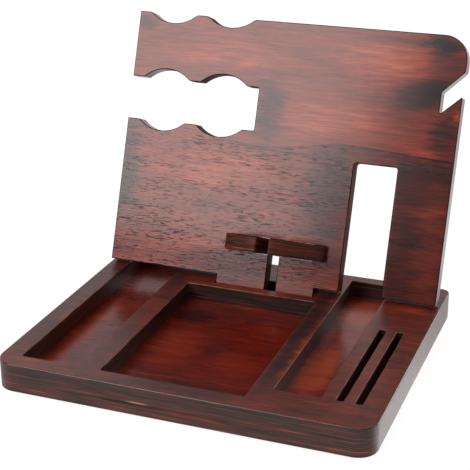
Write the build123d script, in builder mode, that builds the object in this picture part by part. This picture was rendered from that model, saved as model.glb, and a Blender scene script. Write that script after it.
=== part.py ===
from build123d import *
from math import cos, radians, sin, tan
import os

os.makedirs("parts", exist_ok=True)

# A bedside valet stand for a phone, watches, keys and pens, cut from stained plywood.
# X runs across the stand, +Y goes to its back and +Z up. All sizes are millimetres.
# The origin is the middle of the whole stand's footprint, level with the pads' undersides.

# ---- base board: 18 mm plywood with trays milled into its top ----
base_width = 228.0
base_depth = 190.0
base_thickness = 18.0
base_front_radius = 12.0
base_rear_radius = 5.5
base_edge_round = 0.8
pocket_depth = 11.0
pocket_corner_radius = 1.5
pocket_edge_break = 0.35

left_rim = 13.1
front_rim = 12.0
back_rim = 8.0
left_tray_width = 36.7
left_partition = 13.9
centre_tray_width = 87.8
centre_tray_length = 129.6
right_partition = 12.4
right_tray_width = 27.4
right_front_rim = 25.4
pen_wall = 8.2
pen_slot_count = 2
pen_slot_width = 4.5
pen_slot_pitch = 10.8
pen_slot_length = 92.8

# ---- felt pads under the base ----
pad_diameter = 14.0
pad_thickness = 1.5
pad_inset = 20.0

# ---- back panel: leans back in a slot of the base, held by its own weight ----
sheet_thickness = 10.5
panel_lean = 20.8
panel_width = 223.6
panel_height = 172.8
panel_edge_break = 0.5
tab_width = 67.2
tab_x = -1.1
tab_slot_setback = 148.5
tab_play = 0.3
seat_gap = 0.3

# watch arm: a long gap below it, with finger scallops along three edges
watch_gap_foot = 100.6
watch_gap_height = 28.4
watch_gap_length = 90.6
watch_gap_radius = 1.6
scallop_count = 2
scallop_width = 32.5
scallop_depth = 6.4
top_shoulder_radius = 5.0
gap_shoulder_radius = 2.0

# key notch: a slanted slot into the right edge, under the rounded corner of the panel
top_corner_radius = 15.5
key_notch_foot = 123.2
key_notch_depth = 13.3
key_notch_height = 13.9
key_foot_slope = 43.2
key_head_slope = 45.5
key_notch_radius = 0.8
key_head_radius = 4.0
key_tip_radius = 0.6

# tall slot over the right tray, open at the bottom
tall_slot_left = 48.6
tall_slot_width = 28.4
tall_slot_top = 87.4
tall_slot_radius = 2.0

# cable slot from the tab's bottom edge up into the ledge's mortise
cable_slot_left = -0.7
cable_slot_width = 7.4

# ---- phone ledge: bow-fronted, plugged through the panel with one wide tenon ----
# It rises a little from square to the panel, so that a phone can't slide off its front.
ledge_foot = 21.6
ledge_rise = 3.0
ledge_x = 4.0
ledge_width = 67.2
ledge_reach = 29.0
ledge_end_reach = 5.0
ledge_notch_left = -0.8
ledge_notch_width = 8.0
ledge_notch_lip = 1.0
ledge_corner_radius = 1.0
ledge_edge_break = 0.5
tenon_width = 50.0
tenon_play = 0.25

# ---- worked out from the sizes above ----
lean_sin = sin(radians(panel_lean))
lean_cos = cos(radians(panel_lean))
lean_tan = tan(radians(panel_lean))
base_top = pad_thickness + base_thickness

# The panel's bottom is cut square, so its rear edge sits on the base and its front edge stands higher.
shoulder_rise = sheet_thickness * lean_tan + seat_gap / lean_cos
tab_foot = (sheet_thickness * lean_sin - pocket_depth + tab_play) / lean_cos
panel_setback = tab_slot_setback + tab_play - tab_foot * lean_sin
tab_slot_length = panel_setback - tab_slot_setback + sheet_thickness / lean_cos + tab_play
panel_reach = panel_height * lean_sin + sheet_thickness * lean_cos - panel_edge_break * lean_sin
overall_depth = panel_setback + panel_reach
front_y = -overall_depth / 2
back_y = front_y + base_depth

# Plane of the panel's front face: local x across, local y up the panel from the base's top.
panel_face = Plane(
    origin=(0, front_y + panel_setback, base_top),
    x_dir=(1, 0, 0),
    z_dir=(0, -lean_cos, lean_sin),
)
panel_back = panel_face.offset(-sheet_thickness)
# Plane of the ledge's underside: local y points back into the panel.
ledge_slope = radians(panel_lean + ledge_rise)
ledge_plane = Plane(
    origin=panel_face.from_local_coords((0, ledge_foot, 0)),
    x_dir=(1, 0, 0),
    z_dir=(0, sin(ledge_slope), cos(ledge_slope)),
)


def rectangle_between(x_low, y_low, x_high, y_high, mode=Mode.ADD):
    """A rectangle of the current sketch, given by two opposite corners."""
    with Locations(((x_low + x_high) / 2, (y_low + y_high) / 2)):
        Rectangle(x_high - x_low, y_high - y_low, mode=mode)


def panel_corner(u, v):
    """The edge through the panel's thickness that lies nearest to a point of its front face."""
    through_edges = back_panel.edges().filter_by(Axis(panel_face.origin, panel_face.z_dir))
    return through_edges.sort_by_distance(panel_face.from_local_coords((u, v, -sheet_thickness / 2)))[0]


# ---- base board ----
left_tray_x = -base_width / 2 + left_rim
centre_tray_x = left_tray_x + left_tray_width + left_partition
right_tray_x = centre_tray_x + centre_tray_width + right_partition
pen_slot_x = right_tray_x + right_tray_width + pen_wall
tab_slot_y = front_y + tab_slot_setback
tab_left = tab_x - tab_width / 2
tab_right = tab_x + tab_width / 2

with BuildPart() as base_board:
    with BuildSketch(Plane.XY.offset(pad_thickness)):
        rectangle_between(-base_width / 2, front_y, base_width / 2, back_y)
    extrude(amount=base_thickness)
    upright_edges = base_board.edges().filter_by(Axis.Z).group_by(Axis.Y)
    fillet(upright_edges[0], base_front_radius)
    fillet(upright_edges[-1], base_rear_radius)
    rims = base_board.faces().filter_by(Axis.Z).edges()
    fillet(rims, base_edge_round)

    with BuildSketch(Plane.XY.offset(base_top)) as trays:
        rectangle_between(left_tray_x, front_y + front_rim, left_tray_x + left_tray_width, back_y - back_rim)
        rectangle_between(
            centre_tray_x,
            front_y + front_rim,
            centre_tray_x + centre_tray_width,
            front_y + front_rim + centre_tray_length,
        )
        rectangle_between(
            right_tray_x, front_y + right_front_rim, right_tray_x + right_tray_width, back_y - back_rim
        )
        for slot in range(pen_slot_count):
            slot_x = pen_slot_x + slot * pen_slot_pitch
            rectangle_between(
                slot_x,
                front_y + right_front_rim,
                slot_x + pen_slot_width,
                front_y + right_front_rim + pen_slot_length,
            )
        rectangle_between(
            tab_left - tab_play, tab_slot_y, tab_right + tab_play, tab_slot_y + tab_slot_length
        )
        fillet(trays.vertices(), pocket_corner_radius)
    extrude(amount=-pocket_depth, mode=Mode.SUBTRACT)
    pocket_mouths = base_board.faces().sort_by(Axis.Z)[-1].inner_wires().edges()
    chamfer(pocket_mouths, pocket_edge_break)

base_board.part.label = "base_board"
export_step(base_board.part, "parts/base_board.step")

# ---- felt pads ----
pad_reach_x = base_width / 2 - pad_inset
pad_places = {
    "front_left": (-pad_reach_x, front_y + pad_inset),
    "front_right": (pad_reach_x, front_y + pad_inset),
    "rear_left": (-pad_reach_x, back_y - pad_inset),
    "rear_right": (pad_reach_x, back_y - pad_inset),
}
for place, (pad_x, pad_y) in pad_places.items():
    with BuildPart() as felt_pad:
        with BuildSketch():
            with Locations((pad_x, pad_y)):
                Circle(pad_diameter / 2)
        extrude(amount=pad_thickness)
    felt_pad.part.label = f"felt_pad_{place}"
    export_step(felt_pad.part, f"parts/felt_pad_{place}.step")

# ---- back panel ----
half_width = panel_width / 2
gap_head = watch_gap_foot + watch_gap_height
gap_end = -half_width + watch_gap_length
scallop_flat = (watch_gap_length - scallop_count * scallop_width) / (scallop_count + 1)
scallop_pitch = scallop_width + scallop_flat
scallop_centres = [
    -half_width + scallop_flat + scallop_width / 2 + index * scallop_pitch for index in range(scallop_count)
]
# Each scalloped edge, the height of its scallops' crowns, and the rounding of the shoulders beside them.
scalloped_edges = [
    (panel_height, panel_height - scallop_depth, top_shoulder_radius),
    (gap_head, gap_head + scallop_depth, gap_shoulder_radius),
    (watch_gap_foot, watch_gap_foot - scallop_depth, gap_shoulder_radius),
]

tall_slot_right = tall_slot_left + tall_slot_width
cable_slot_right = cable_slot_left + cable_slot_width
cable_slot_head = ledge_foot + sheet_thickness / 2
tenon_left = ledge_x - tenon_width / 2
tenon_right = ledge_x + tenon_width / 2
notch_x = half_width - key_notch_depth
notch_head = key_notch_foot + key_notch_height
tip_v = key_notch_foot + key_notch_depth * tan(radians(key_foot_slope))
head_v = notch_head + key_notch_depth * tan(radians(key_head_slope))

with BuildPart() as back_panel:
    with BuildSketch(panel_face):
        rectangle_between(-half_width, shoulder_rise, half_width, panel_height)
        rectangle_between(-half_width, watch_gap_foot, gap_end, gap_head, mode=Mode.SUBTRACT)
        for edge_v, crown_v, _ in scalloped_edges:
            for centre_u in scallop_centres:
                scallop_start = (centre_u - scallop_width / 2, edge_v)
                scallop_end = (centre_u + scallop_width / 2, edge_v)
                with BuildLine():
                    ThreePointArc(scallop_start, (centre_u, crown_v), scallop_end)
                    Line(scallop_end, scallop_start)
                make_face(mode=Mode.SUBTRACT)
        rectangle_between(tall_slot_left, shoulder_rise, tall_slot_right, tall_slot_top, mode=Mode.SUBTRACT)
        with BuildLine():
            Polyline(
                (half_width, tip_v),
                (notch_x, key_notch_foot),
                (notch_x, notch_head),
                (half_width, head_v),
                close=True,
            )
        make_face(mode=Mode.SUBTRACT)
        rectangle_between(tab_left, tab_foot, tab_right, shoulder_rise)
        rectangle_between(cable_slot_left, tab_foot, cable_slot_right, cable_slot_head, mode=Mode.SUBTRACT)
    extrude(amount=-sheet_thickness)

    for edge_v, _, shoulder_radius in scalloped_edges:
        for centre_u in scallop_centres:
            fillet(panel_corner(centre_u - scallop_width / 2, edge_v), shoulder_radius)
            fillet(panel_corner(centre_u + scallop_width / 2, edge_v), shoulder_radius)
    fillet(panel_corner(half_width, panel_height), top_corner_radius)
    fillet(panel_corner(half_width, head_v), key_head_radius)
    fillet(panel_corner(half_width, tip_v), key_tip_radius)
    fillet(panel_corner(notch_x, notch_head), key_notch_radius)
    fillet(panel_corner(notch_x, key_notch_foot), key_notch_radius)
    fillet(panel_corner(gap_end, watch_gap_foot), watch_gap_radius)
    fillet(panel_corner(gap_end, gap_head), watch_gap_radius)
    fillet(panel_corner(tall_slot_left, tall_slot_top), tall_slot_radius)
    fillet(panel_corner(tall_slot_right, tall_slot_top), tall_slot_radius)
    rims = back_panel.faces().filter_by(panel_face).edges()
    chamfer(rims, panel_edge_break)

    with BuildSketch(ledge_plane.offset(-tenon_play)):
        rectangle_between(tenon_left - tenon_play, -sheet_thickness, tenon_right + tenon_play, 2 * sheet_thickness)
    extrude(amount=sheet_thickness + 2 * tenon_play, mode=Mode.SUBTRACT)

back_panel.part.label = "back_panel"
export_step(back_panel.part, "parts/back_panel.step")

# ---- phone ledge ----
ledge_left = ledge_x - ledge_width / 2
ledge_right = ledge_x + ledge_width / 2
ledge_notch_right = ledge_notch_left + ledge_notch_width

with BuildPart() as phone_ledge:
    with BuildSketch(ledge_plane) as plan:
        with BuildLine():
            ThreePointArc((ledge_left, -ledge_end_reach), (ledge_x, -ledge_reach), (ledge_right, -ledge_end_reach))
            Polyline(
                (ledge_right, -ledge_end_reach),
                (ledge_right, sheet_thickness),
                (ledge_left, sheet_thickness),
                (ledge_left, -ledge_end_reach),
            )
        make_face()
        rectangle_between(
            ledge_notch_left, -ledge_reach, ledge_notch_right, -ledge_notch_lip, mode=Mode.SUBTRACT
        )
        fillet(plan.vertices().filter_by_position(Axis.Y, -ledge_reach, -2 * ledge_notch_lip), ledge_corner_radius)
    extrude(amount=sheet_thickness)
    # The head stops flush with the panel's front face, and the tenon with its back.
    split(bisect_by=panel_face, keep=Keep.TOP)
    rims = phone_ledge.faces().filter_by(ledge_plane).edges()
    rims = rims.filter_by(lambda edge: panel_face.to_local_coords(edge.center()).Z > ledge_edge_break)
    chamfer(rims, ledge_edge_break)
    with BuildSketch(ledge_plane):
        rectangle_between(tenon_left, -ledge_notch_lip / 2, tenon_right, 2 * sheet_thickness)
    extrude(amount=sheet_thickness)
    split(bisect_by=panel_back, keep=Keep.TOP)

phone_ledge.part.label = "phone_ledge"
export_step(phone_ledge.part, "parts/phone_ledge.step")
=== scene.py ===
"""A bedside valet stand in mahogany-stained plywood under gloss varnish.

The boards' shapes are the CAD frame's own. This script gives each board its finish: the face
veneer with its grain, pores and clouds of stain, and the cut edges with their plies. It then sets
up the studio: the camera, a pale floor, white surroundings and two softboxes. Sizes are written in
millimetres and turned into metres where Blender needs them.
"""
from math import cos, pi, radians, sin

import bpy
from mathutils import Matrix, Vector


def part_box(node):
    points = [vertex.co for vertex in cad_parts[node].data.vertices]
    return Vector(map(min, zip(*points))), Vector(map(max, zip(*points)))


MM = 0.001

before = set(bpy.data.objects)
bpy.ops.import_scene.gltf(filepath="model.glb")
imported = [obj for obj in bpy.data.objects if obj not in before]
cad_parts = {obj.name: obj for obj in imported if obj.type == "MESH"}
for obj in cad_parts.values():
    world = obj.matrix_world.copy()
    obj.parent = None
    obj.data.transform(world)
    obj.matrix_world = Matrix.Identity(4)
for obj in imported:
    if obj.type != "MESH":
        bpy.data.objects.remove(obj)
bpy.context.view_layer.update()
bpy.ops.object.select_all(action="DESELECT")

# ---- the stand's own sizes, in millimetres ----
base_low, base_high = (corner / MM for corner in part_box("base_board"))
front_y = base_low.y
base_foot = base_low.z
base_top = base_high.z
pocket_depth = 11.0
pocket_floor = base_top - pocket_depth
base_plies = 13
base_ply = (base_top - base_foot) / base_plies
# The rims round the trays: beyond this far from the middle, and this near to the front edge.
side_rim_x = 100
front_rim = 12

panel_lean = radians(20.8)
panel_setback = 151.448
panel_face_y = front_y + panel_setback
sheet_thickness = 10.5
sheet_plies = 7
sheet_ply = sheet_thickness / sheet_plies
ledge_foot = 21.6
ledge_slope = radians(23.8)


# ---- shader maths ----
class Wire:
    """An output of a material's nodes that adds Math nodes when it is used in arithmetic."""

    def __init__(self, paint, socket):
        self.paint = paint
        self.socket = socket

    def math(self, operation, *values):
        return self.paint.node("ShaderNodeMath", {"operation": operation}, dict(enumerate(values)))

    def __add__(self, other):
        return self.math("ADD", self, other)

    def __radd__(self, other):
        return self.math("ADD", other, self)

    def __sub__(self, other):
        return self.math("SUBTRACT", self, other)

    def __rsub__(self, other):
        return self.math("SUBTRACT", other, self)

    def __mul__(self, other):
        return self.math("MULTIPLY", self, other)

    def __truediv__(self, other):
        return self.math("DIVIDE", self, other)

    def __abs__(self):
        return self.math("ABSOLUTE", self)

    def sine(self):
        return self.math("SINE", self)

    def wrapped(self, pitch):
        """How far along its own period the value is, from 0 to pitch."""
        return self.math("FLOORED_MODULO", self, pitch)

    def larger(self, other):
        return self.math("MAXIMUM", self, other)

    def rise(self, low, high):
        """0 below low and 1 above high, with a smooth step between them."""
        return self.paint.node(
            "ShaderNodeMapRange",
            {"interpolation_type": "SMOOTHSTEP"},
            {"Value": self, "From Min": low, "From Max": high},
        )

    def fall(self, low, high):
        """1 below low and 0 above high, with a smooth step between them."""
        return 1 - self.rise(low, high)


class Paint:
    """A node tree, of a new material or of the world."""

    def __init__(self, tree):
        self.tree = tree
        self.tree.nodes.clear()

    def node(self, kind, settings=None, inputs=None, output=0):
        """Adds a node: its settings first, then a value or a wire for each named input."""
        made = self.tree.nodes.new(kind)
        for name, value in (settings or {}).items():
            if name == "stops":
                self.set_stops(made.color_ramp.elements, value)
            else:
                setattr(made, name, value)
        for key, value in (inputs or {}).items():
            if isinstance(value, Wire):
                self.tree.links.new(value.socket, made.inputs[key])
            else:
                made.inputs[key].default_value = value
        return Wire(self, made.outputs[output])

    def finish(self, shader, kind="ShaderNodeOutputMaterial"):
        """Sends a shader to the tree's own output."""
        output = self.tree.nodes.new(kind)
        self.tree.links.new(shader.socket, output.inputs["Surface"])

    def set_stops(self, elements, stops):
        """Gives a colour ramp its stops, each a place from 0 to 1 and a colour."""
        while len(elements) < len(stops):
            elements.new(1.0)
        for element, (place, colour) in zip(elements, stops):
            element.position = place
            element.color = (*colour, 1.0)

    def split(self, source):
        """The three parts of a vector."""
        parts = self.node("ShaderNodeSeparateXYZ", {}, {"Vector": source}).socket.node
        return [Wire(self, parts.outputs[axis]) for axis in "XYZ"]

    def coordinates(self):
        """The point on the object in millimetres, as three wires."""
        return [part / MM for part in self.split(self.node("ShaderNodeTexCoord", output="Object"))]

    def facing(self):
        """The three parts of the surface's own outward direction."""
        return self.split(self.node("ShaderNodeTexCoord", output="Normal"))

    def rays(self, kinds):
        """1 for the named kinds of ray and 0 for all others."""
        path = self.tree.nodes.new("ShaderNodeLightPath")
        share = 0.0
        for kind in kinds:
            share = Wire(self, path.outputs[kind]).larger(share)
        return share

    def vector(self, x, y, z=0.0):
        return self.node("ShaderNodeCombineXYZ", {}, {"X": x, "Y": y, "Z": z})

    def noise(self, x, y, z=0.0, detail=2.0, roughness=0.5, distortion=0.0):
        """Noise about 0.5 that changes over one unit of its coordinates."""
        place = self.vector(x, y, z)
        settings = {"Vector": place, "Scale": 1.0, "Detail": detail, "Roughness": roughness}
        return self.node("ShaderNodeTexNoise", {}, {**settings, "Distortion": distortion})

    def marks(self, place, size, layer, detail=2.0, roughness=0.5):
        """Noise about 0, in marks of that length and width. Each layer has marks of its own."""
        along, across = place
        length, width = size
        return self.noise(along / length, across / width, layer, detail, roughness) - 0.5

    def dashes(self, x, y, share):
        """Short separate strokes: few where share is 0 and many where it is 1."""
        begin = 0.72 - share * 0.09
        return self.noise(x, y, 0.0, 0.0).rise(begin, begin + 0.07)

    def spot(self, place, centre, reach, turn=0.0):
        """1 in the middle of a soft oval and 0 outside its reach. Its turn is in degrees."""
        moved = self.node(
            "ShaderNodeMapping",
            {"vector_type": "TEXTURE"},
            {
                "Vector": place,
                "Location": (*centre, 0.0),
                "Rotation": (0.0, 0.0, radians(turn)),
                "Scale": (*reach, 1.0),
            },
        )
        settings = {"gradient_type": "SPHERICAL"}
        cone = self.node("ShaderNodeTexGradient", settings, {"Vector": moved}, output=1)
        return cone.rise(0.0, 0.75)

    def clouds(self, place, spots):
        """The sum of the soft ovals in a list of (centre, reach, turn in degrees, strength)."""
        return sum(
            self.spot(place, centre, reach, turn) * strength
            for centre, reach, turn, strength in spots
        )

    def mix(self, share, under, over):
        """The colour under, covered by the colour over as far as share says."""
        settings = {"data_type": "RGBA", "clamp_factor": True}
        return self.node("ShaderNodeMix", settings, {0: share, 6: under, 7: over}, output=2)

    def ramp(self, value, stops):
        """The colour that a ramp of those stops has at the value."""
        return self.node("ShaderNodeValToRGB", {"stops": stops}, {"Fac": value})


def new_material(name):
    material = bpy.data.materials.new(name)
    material.use_nodes = True
    return material, Paint(material.node_tree)


def varnished(paint, colour, roughness, height, depth, worn):
    """Finishes a material as stained wood under varnish, and matt where it is worn.

    Height runs from 0 to 1 over a relief that is depth millimetres deep.
    """
    bump = paint.node("ShaderNodeBump", {}, {"Height": height, "Distance": depth * MM})
    stained = {"Base Color": colour, "Normal": bump}
    gloss = {"Roughness": roughness, "IOR": 1.5}
    dullness = {"Roughness": 0.9, "Specular IOR Level": 0.0}
    glossy = paint.node("ShaderNodeBsdfPrincipled", {}, {**stained, **gloss})
    matt = paint.node("ShaderNodeBsdfPrincipled", {}, {**stained, **dullness})
    paint.finish(paint.node("ShaderNodeMixShader", {}, {0: worn, 1: glossy, 2: matt}))


def dress(node, material):
    """Gives every material slot of a CAD node that material."""
    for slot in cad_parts[node].material_slots:
        slot.material = material


# ---- the stain ----
stain_stops = [
    (0.00, (0.012, 0.005, 0.005)),
    (0.25, (0.045, 0.011, 0.009)),
    (0.50, (0.140, 0.019, 0.011)),
    (0.75, (0.270, 0.038, 0.018)),
    (1.00, (0.480, 0.090, 0.036)),
]
tray_stops = [
    (0.00, (0.012, 0.004, 0.004)),
    (0.25, (0.045, 0.006, 0.005)),
    (0.50, (0.115, 0.009, 0.005)),
    (0.75, (0.210, 0.020, 0.008)),
    (1.00, (0.360, 0.055, 0.020)),
]
edge_stops = [
    (0.00, (0.008, 0.005, 0.004)),
    (0.25, (0.028, 0.011, 0.008)),
    (0.50, (0.085, 0.020, 0.012)),
    (0.75, (0.190, 0.032, 0.018)),
    (1.00, (0.420, 0.110, 0.050)),
]
bare_edge = (0.36, 0.19, 0.11, 1.0)
bare_wood = (0.55, 0.24, 0.10, 1.0)


def veneer(paint, along, across, layer, ground, porous, figure=1.0):
    """A face ply: its stain tone from 0 to 1, and how deep its open pores lie, from 0 to 1.

    Ground is the tone that the streaks play about. Porous is 0 on smooth wood and 1 where the
    grain stands open. Figure is the strength of the long streaks.
    """
    wander = paint.marks((along, across), (180, 50), layer, 0.0) * 6
    level = across + wander
    place = (along, level)
    bands = paint.marks(place, (120, 7), layer + 3.1, 3.0, 0.6)
    streaks = paint.marks(place, (30, 1.9), layer + 7.7, 4.0, 0.65)
    hairs = paint.marks(place, (11, 0.5), layer + 11.3, 2.0, 0.6)
    mottle = paint.marks(place, (16, 3.5), layer + 13.7, 3.0)
    pored = paint.marks(place, (60, 8), layer + 15.1, 3.0).rise(-0.08, 0.10)
    shift = layer * 3.7
    long_pores = paint.dashes(along / 9 + shift, level / 0.75 + shift, pored)
    short_pores = paint.dashes(along / 5 - shift, level / 0.55 - shift, pored)
    pores = long_pores.larger(short_pores) * porous
    streaked = (bands * 0.42 + streaks * 0.80) * figure
    tone = ground + streaked + hairs * (0.42 + porous * 0.32) + mottle * 0.20 - pores * 0.50
    return tone, pores


def plies(paint, run, depth, ply, first_along):
    """A cut edge: its stain tone, with a long-grain ply and an end-grain ply by turns.

    Run is the distance along the edge and depth the distance into the sheet. First_along is 1
    where the outer ply shows its long grain, and 0 where it shows its end grain.
    """
    level = depth + paint.marks((run, depth), (70, 5), 2.2, 1.0) * 0.8
    pair = (level / (2 * ply)).wrapped(1.0)
    cross = pair.rise(0.38, 0.58) - pair.rise(0.88, 1.0)
    long_share = cross * (1 - first_along) + (1 - cross) * first_along
    place = (run, level)
    lines = paint.marks(place, (45, 0.42), 4.4, 3.0, 0.65)
    patches = paint.marks(place, (26, 2.2), 5.1)
    flecks = paint.marks(place, (0.9, 0.6), 6.6, 2.0, 0.6)
    long_tone = 0.45 + lines * 2.3 + patches * 0.9
    end_tone = 0.38 + lines * 1.3 + patches * 0.8 + flecks * 0.3
    glue = (level / ply).wrapped(1.0)
    seam = glue.fall(0.0, 0.24) + glue.rise(0.80, 1.0)
    return long_tone * long_share + end_tone * (1 - long_share) - seam * 0.34


def board_sides(away_x, straight):
    """Three shares: a board's faces, its arrises, and where its outer ply shows long grain.

    Straight is how far the surface looks straight out of the board's face.
    """
    flat = abs(straight).rise(0.80, 0.96)
    arris = abs(straight).rise(0.10, 0.3) * (1 - flat)
    first_along = 1 - abs(away_x).rise(0.5, 0.8)
    return flat, arris, first_along


# ---- the base board ----
# Clouds in the base's stain, and a painted reflection in the shaded right tray: centre from the
# middle of the front edge, reach, turn, strength.
base_stain_and_painted_light_spots = [
    ((-107, 95), (16, 110), 0, -0.10),
    ((-58, 40), (9, 60), 0, -0.08),
    ((-58, 140), (9, 50), 0, -0.16),
    ((0, 158), (60, 10), 0, -0.10),
    ((-36, 116), (18, 14), 0, -0.30),
    ((-32, 72), (24, 40), 0, 0.18),
    ((16, 112), (30, 28), 0, 0.08),
    ((14, 66), (30, 18), 0, 0.12),
    ((4, 120), (8, 6), 0, -0.12),
    ((-7, 74), (11, 9), 0, -0.16),
    ((0, 22), (64, 24), 0, -0.20),
    ((43, 90), (8, 100), 0, -0.28),
    ((60, 70), (17, 48), 0, 0.52),
    ((66, 120), (20, 50), 0, 0.22),
    ((-92, 70), (13, 90), 0, 0.28),
    ((95, 152), (26, 12), 0, 0.30),
    ((104, 82), (7, 16), 0, -0.18),
    ((93, 60), (22, 70), 0, 0.06),
    ((-6, 146), (46, 12), 0, 0.24),
    # painted reflection: lightens the back of the right tray, which lies in shade under the panel
    ((64, 160), (20, 30), 0, 0.50),
    ((-92, 40), (22, 26), 0, -0.14),
]


def base_material():
    material, paint = new_material("base_wood_finish")
    x, y, z = paint.coordinates()
    away_x, _, up = paint.facing()
    flat, arris, first_along = board_sides(away_x, up)
    back = y - front_y
    layer = z / 9
    drift = paint.marks((x, y), (12, 9), 5.5, 3.0) * 14
    place = paint.vector(x + drift, back + drift * 0.6)

    # the faces: top, underside and tray floors, with one light vein across the tray floors, and
    # stain clouds with a painted reflection in the right tray
    over_floor = z.rise(pocket_floor - 1, pocket_floor - 0.5)
    floor = over_floor * z.fall(pocket_floor + 0.5, pocket_floor + 1)
    mist = paint.marks((x, y), (30, 20), layer, 3.0) * 0.34
    vein_bends = paint.marks((x, 0.0), (16, 1), 9.1, 3.0) * 14
    past_vein = back - 38 - x * 0.08 - vein_bends
    vein = past_vein.rise(-1.2, 0.0) * past_vein.fall(0.0, 1.5) * floor
    ground = 0.42 + mist + floor * 0.08 + paint.clouds(place, base_stain_and_painted_light_spots) + vein * 0.22
    tone, pores = veneer(paint, x, y, layer, ground, 0.35, 1 - floor * 0.45)
    face_colour = paint.mix(floor, paint.ramp(tone, stain_stops), paint.ramp(tone, tray_stops))

    # the cut edges, redder towards the base's foot
    low_down = z.fall(base_foot + 4, base_top - 4)
    outside = (abs(x) - side_rim_x).larger(front_rim - back).rise(0.0, 1.0)
    cut = plies(paint, x + y, z - base_foot, base_ply, first_along)
    edge_colour = paint.ramp(cut - 0.16 + outside * (0.10 + low_down * 0.10), edge_stops)
    colour = paint.mix(flat, edge_colour, face_colour)

    # the stain rubbed off the arrises, most of all round the trays, and one knock in the front
    inside_rims = abs(x).fall(side_rim_x + 1, side_rim_x + 3)
    inside = inside_rims * back.rise(front_rim - 1, front_rim + 1)
    patches = paint.noise(x / 14, y / 14, z / 9, 3.0, 0.7).rise(0.30, 0.62)
    rubbed = arris * (0.25 + inside * 0.75) * patches
    colour = paint.mix(rubbed * 0.65, colour, bare_edge)
    knock_centre = (-22, base_foot + 8.3)
    knock = paint.spot(paint.vector(x, z), knock_centre, (9, 0.7)) * back.fall(0.5, 1)
    colour = paint.mix(knock * 0.75, colour, bare_wood)

    # the varnish: glossier on the tray floors and the outer arrises, and in part matt in the
    # centre tray and on the inner arrises
    polished = floor * flat * 0.14
    shining = arris * outside * (1 - rubbed) * 0.28
    roughness = 0.38 - polished + pores * 0.15 - shining
    centre_tray = floor * x.rise(-48, -40) * x.fall(30, 36) * 0.5
    dull = centre_tray.larger(arris * (1 - outside) * 0.8)
    varnished(paint, colour, roughness, 1 - pores * 0.8, 0.05, dull)
    return material


# ---- the leaning panel ----
def panel_place(y, z):
    """Height up the panel's slope and depth behind its front face."""
    forward = y - panel_face_y
    above = z - base_top
    height = forward * sin(panel_lean) + above * cos(panel_lean)
    depth = forward * cos(panel_lean) - above * sin(panel_lean)
    return height, depth


# Clouds in the panel's stain: centre across and up its slope, reach, turn, strength.
panel_spots = [
    ((95, 167), (17, 12), 0, -0.36),
    ((86, 134), (30, 13), 14, -0.40),
    ((101, 145), (22, 42), 0, -0.20),
    ((105, 108), (16, 20), 0, -0.34),
    ((35, 65), (25, 42), 0, -0.32),
    ((-13, 116), (15, 28), 0, -0.34),
    ((-109, 66), (16, 50), 0, -0.36),
    ((-106, 166), (12, 7), 0, -0.30),
    ((42, 32), (18, 22), 0, -0.16),
    ((-30, 12), (56, 13), 0, -0.24),
    ((62, 153), (46, 17), -2, 0.22),
    ((28, 113), (52, 20), 0, 0.20),
    ((-46, 148), (56, 14), 0, 0.18),
    ((-60, 20), (40, 11), 0, 0.12),
    ((-45, 72), (60, 20), 0, 0.17),
    ((104, 36), (16, 60), 0, 0.20),
    ((93, 62), (22, 4), 0, 0.16),
    ((92, 98), (24, 4), 0, 0.16),
    ((108, 122), (7, 4), 40, 0.40),
]


def panel_material():
    material, paint = new_material("panel_wood_finish")
    x, y, z = paint.coordinates()
    away_x, away_y, away_z = paint.facing()
    height, depth = panel_place(y, z)
    straight = away_y * cos(panel_lean) - away_z * sin(panel_lean)
    flat, arris, first_along = board_sides(away_x, straight)
    drift = paint.marks((x, height), (26, 4), 5.5, 4.0, 0.6) * 34
    place = paint.vector(x + drift, height + drift * 0.2)

    # the face: a growth ring waves across it, and the wood under the ring is darker and more open
    swell = (x - 16) * (2 * pi / 124)
    ring = 94.7 + swell.sine() * 3.5 + x.rise(55, 105) * 3.5
    above_ring = height - ring
    below_ring = above_ring.fall(-2.0, 0.5)
    broken = paint.noise(x / 9, 0.0, 1.1, 2.0).rise(0.2, 0.5)
    ring_line = above_ring.rise(-1.5, -0.2) * above_ring.fall(0.0, 0.4) * broken
    under_ring = below_ring * above_ring.rise(-14, -3) * x.rise(-30, 10)
    right_leg = x.rise(74, 80) * height.fall(84, 98)
    mist = paint.marks((x, height), (44, 12), depth / 9, 3.0) * 0.20
    ground = 0.61 + mist + paint.clouds(place, panel_spots)
    ground = ground - ring_line * 0.34 - under_ring * 0.15 - right_leg * 0.32

    tab = height.fall(1, 6)
    low_down = height.fall(22, 52)
    open_grain = below_ring * 0.55 + low_down * (0.30 + x.fall(-40, 0) * 0.35)
    porous = (0.15 + open_grain * (1 - tab * 0.6)) * (1 - right_leg * 0.8)
    tone, pores = veneer(paint, x, height, depth / 9, ground, porous, 0.75 - right_leg * 0.35)
    cut = plies(paint, x + height, depth, sheet_ply, first_along)
    edge_colour = paint.ramp(cut - arris * 0.22, edge_stops)
    colour = paint.mix(flat, edge_colour, paint.ramp(tone, stain_stops))

    # the varnish: matt on the cut edges, except towards the panel's sides, and scuffed low down
    rough_edge = (1 - flat) * abs(x).fall(84, 96) * 0.85
    scuffed = height.rise(3, 8) * height.fall(12, 36) * 0.35
    dull = rough_edge.larger(arris * 0.95).larger(scuffed)
    furrows = paint.marks((x, height), (9, 0.6), 3.3) * porous * 0.5
    relief = pores * 0.4 + furrows
    roughness = 0.19 + tab * 0.14 + pores * 0.2
    varnished(paint, colour, roughness, 1 - relief, 0.08, dull)
    return material


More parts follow.
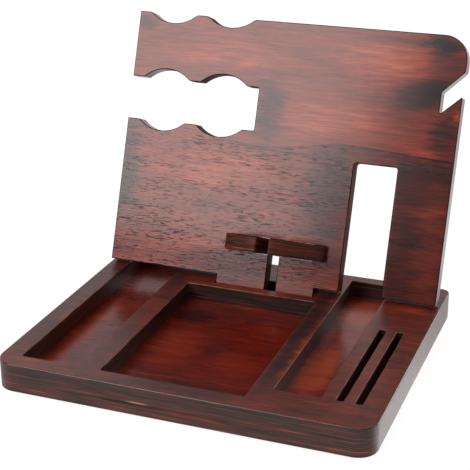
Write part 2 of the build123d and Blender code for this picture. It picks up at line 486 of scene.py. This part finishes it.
# ---- the phone ledge ----
def ledge_material():
    material, paint = new_material("ledge_wood_finish")
    x, y, z = paint.coordinates()
    away_x, away_y, away_z = paint.facing()
    forward = y - panel_face_y
    above = z - base_top - ledge_foot
    depth = forward * sin(ledge_slope) + above * cos(ledge_slope)
    reach = above * sin(ledge_slope) - forward * cos(ledge_slope)
    straight = away_y * sin(ledge_slope) + away_z * cos(ledge_slope)
    flat, arris, first_along = board_sides(away_x, straight)
    ground = 0.36 + paint.marks((x, reach), (30, 14), 8.8) * 0.3
    tone, pores = veneer(paint, x, reach, 4.2, ground, 0.6)
    cut = 0.06 + plies(paint, x + reach, depth, sheet_ply, first_along)
    colour = paint.mix(flat, paint.ramp(cut, edge_stops), paint.ramp(tone, stain_stops))
    roughness = 0.45 + pores * 0.2
    varnished(paint, colour, roughness, 1 - pores * 0.8, 0.05, 0.7 + arris * 0.3)
    return material


# ---- the felt pads ----
fibre_size = 0.35
tuft_size = 2.4
felt_stops = [(0.3, (0.012, 0.011, 0.011)), (0.7, (0.050, 0.046, 0.044))]


def felt_material():
    material, paint = new_material("felt_finish")
    point = paint.coordinates()
    fibres = paint.noise(*(part / fibre_size for part in point), 3.0, 0.7, 1.5)
    tufts = paint.noise(*(part / tuft_size for part in point), 2.0)
    colour = paint.ramp(fibres * 0.7 + tufts * 0.3, felt_stops)
    bump = paint.node("ShaderNodeBump", {}, {"Height": fibres, "Distance": 0.25 * MM})
    surface = {"Base Color": colour, "Roughness": 0.95, "Specular IOR Level": 0.15, "Normal": bump}
    paint.finish(paint.node("ShaderNodeBsdfPrincipled", {}, surface))
    return material


# ---- the studio ----
white = (1, 1, 1, 1)
floor_paper = (0.86, 0.86, 0.86, 1)
floor_width = 8000
floor_gap = 0.1
ambient = 0.50


def white_world():
    """White surroundings, which the gloss reflects as a dim room with a backdrop and a ceiling."""
    world = bpy.data.worlds.new("studio")
    world.use_nodes = True
    bpy.context.scene.world = world
    paint = Paint(world.node_tree)
    looking = paint.rays(["Is Camera Ray", "Is Transmission Ray"])
    mirrored = paint.rays(["Is Glossy Ray"])
    _, along, up = paint.split(paint.node("ShaderNodeTexCoord", output="Generated"))
    side_walls = along.rise(-0.8, -0.5) * 0.10
    backdrop = along.rise(-0.35, 0.15) * 0.63
    ceiling = up.rise(0.6, 0.8) * 0.9
    room = (0.05 + side_walls + backdrop).larger(ceiling)
    shown = looking.larger(mirrored * room)
    strength = (1 - looking.larger(mirrored)) * ambient + shown
    light = paint.node("ShaderNodeBackground", {}, {"Color": white, "Strength": strength})
    paint.finish(light, "ShaderNodeOutputWorld")


def pale_floor():
    """A floor a little under the pads that keeps the stand's shadow.

    The gloss sees it darker than the camera does, but for a bright patch right of the stand.
    """
    bpy.ops.mesh.primitive_plane_add(size=floor_width * MM, location=(0, 0, -floor_gap * MM))
    floor = bpy.context.object
    floor.name = "studio_floor"
    material, paint = new_material("studio_floor_finish")
    x, y, _ = paint.coordinates()
    beside_stand = x.rise(104, 112) * x.fall(140, 220) * y.rise(-106, -92)
    lit_side = beside_stand * (0.88 + y.fall(-40, 80) * 1.25)
    strength = 1.19 + paint.rays(["Is Glossy Ray"]) * (lit_side * 0.72 - 0.35)
    matt = paint.node("ShaderNodeBsdfDiffuse", {}, {"Color": floor_paper})
    glow = paint.node("ShaderNodeEmission", {}, {"Color": white, "Strength": strength})
    looking = paint.rays(["Is Camera Ray", "Is Glossy Ray", "Is Transmission Ray"])
    paint.finish(paint.node("ShaderNodeMixShader", {}, {0: looking * 0.76, 1: matt, 2: glow}))
    floor.data.materials.append(material)
    floor.select_set(False)


def softbox(name, place, aim, size, radiance, turn=0.0):
    """An area lamp in millimetres, turned in degrees in its own plane.

    Radiance is how bright its face is, where white paper is 1.
    """
    width, height = size
    area = width * height * MM * MM
    lamp = bpy.data.lights.new(name, "AREA")
    lamp.shape = "RECTANGLE"
    lamp.size = width * MM
    lamp.size_y = height * MM
    lamp.energy = radiance * pi * area
    made = bpy.data.objects.new(name, lamp)
    bpy.context.collection.objects.link(made)
    made.location = Vector(place) * MM
    facing = (Vector(aim) - Vector(place)).to_track_quat("-Z", "Y").to_matrix()
    made.rotation_euler = (facing @ Matrix.Rotation(radians(turn), 3, "Z")).to_euler()
    made.visible_camera = False


def photo_camera():
    """A camera in front of the stand, to its right and above it."""
    azimuth = radians(20.96)
    pitch = radians(22.04)
    roll = radians(-0.25)
    place = Vector((251.87, front_y - 560.76, 362.39))
    ahead = Vector((-sin(azimuth) * cos(pitch), cos(azimuth) * cos(pitch), -sin(pitch)))
    level = Vector((cos(azimuth), sin(azimuth), 0.0))
    upright = level.cross(ahead)
    right = level * cos(roll) + upright * sin(roll)
    up = upright * cos(roll) - level * sin(roll)
    lens = bpy.data.cameras.new("camera")
    lens.sensor_width = 36.0
    lens.lens = 97.32
    lens.clip_start = 50 * MM
    camera = bpy.data.objects.new("camera", lens)
    bpy.context.collection.objects.link(camera)
    turned = Matrix((right, up, -ahead)).transposed().to_4x4()
    camera.matrix_world = Matrix.Translation(place * MM) @ turned
    bpy.context.scene.camera = camera


dress("base_board", base_material())
dress("back_panel", panel_material())
dress("phone_ledge", ledge_material())
felt = felt_material()
for corner in ("front_left", "front_right", "rear_left", "rear_right"):
    dress(f"felt_pad_{corner}", felt)

photo_camera()
pale_floor()
white_world()
bpy.context.scene.view_settings.view_transform = "Standard"
softbox("front_left_softbox", (-627, -900, 780), (-627, 0, 780), (900, 900), 5.0, -13)
softbox("rear_right_softbox", (1100, 1300, 500), (60, 0, 60), (900, 700), 5.0)
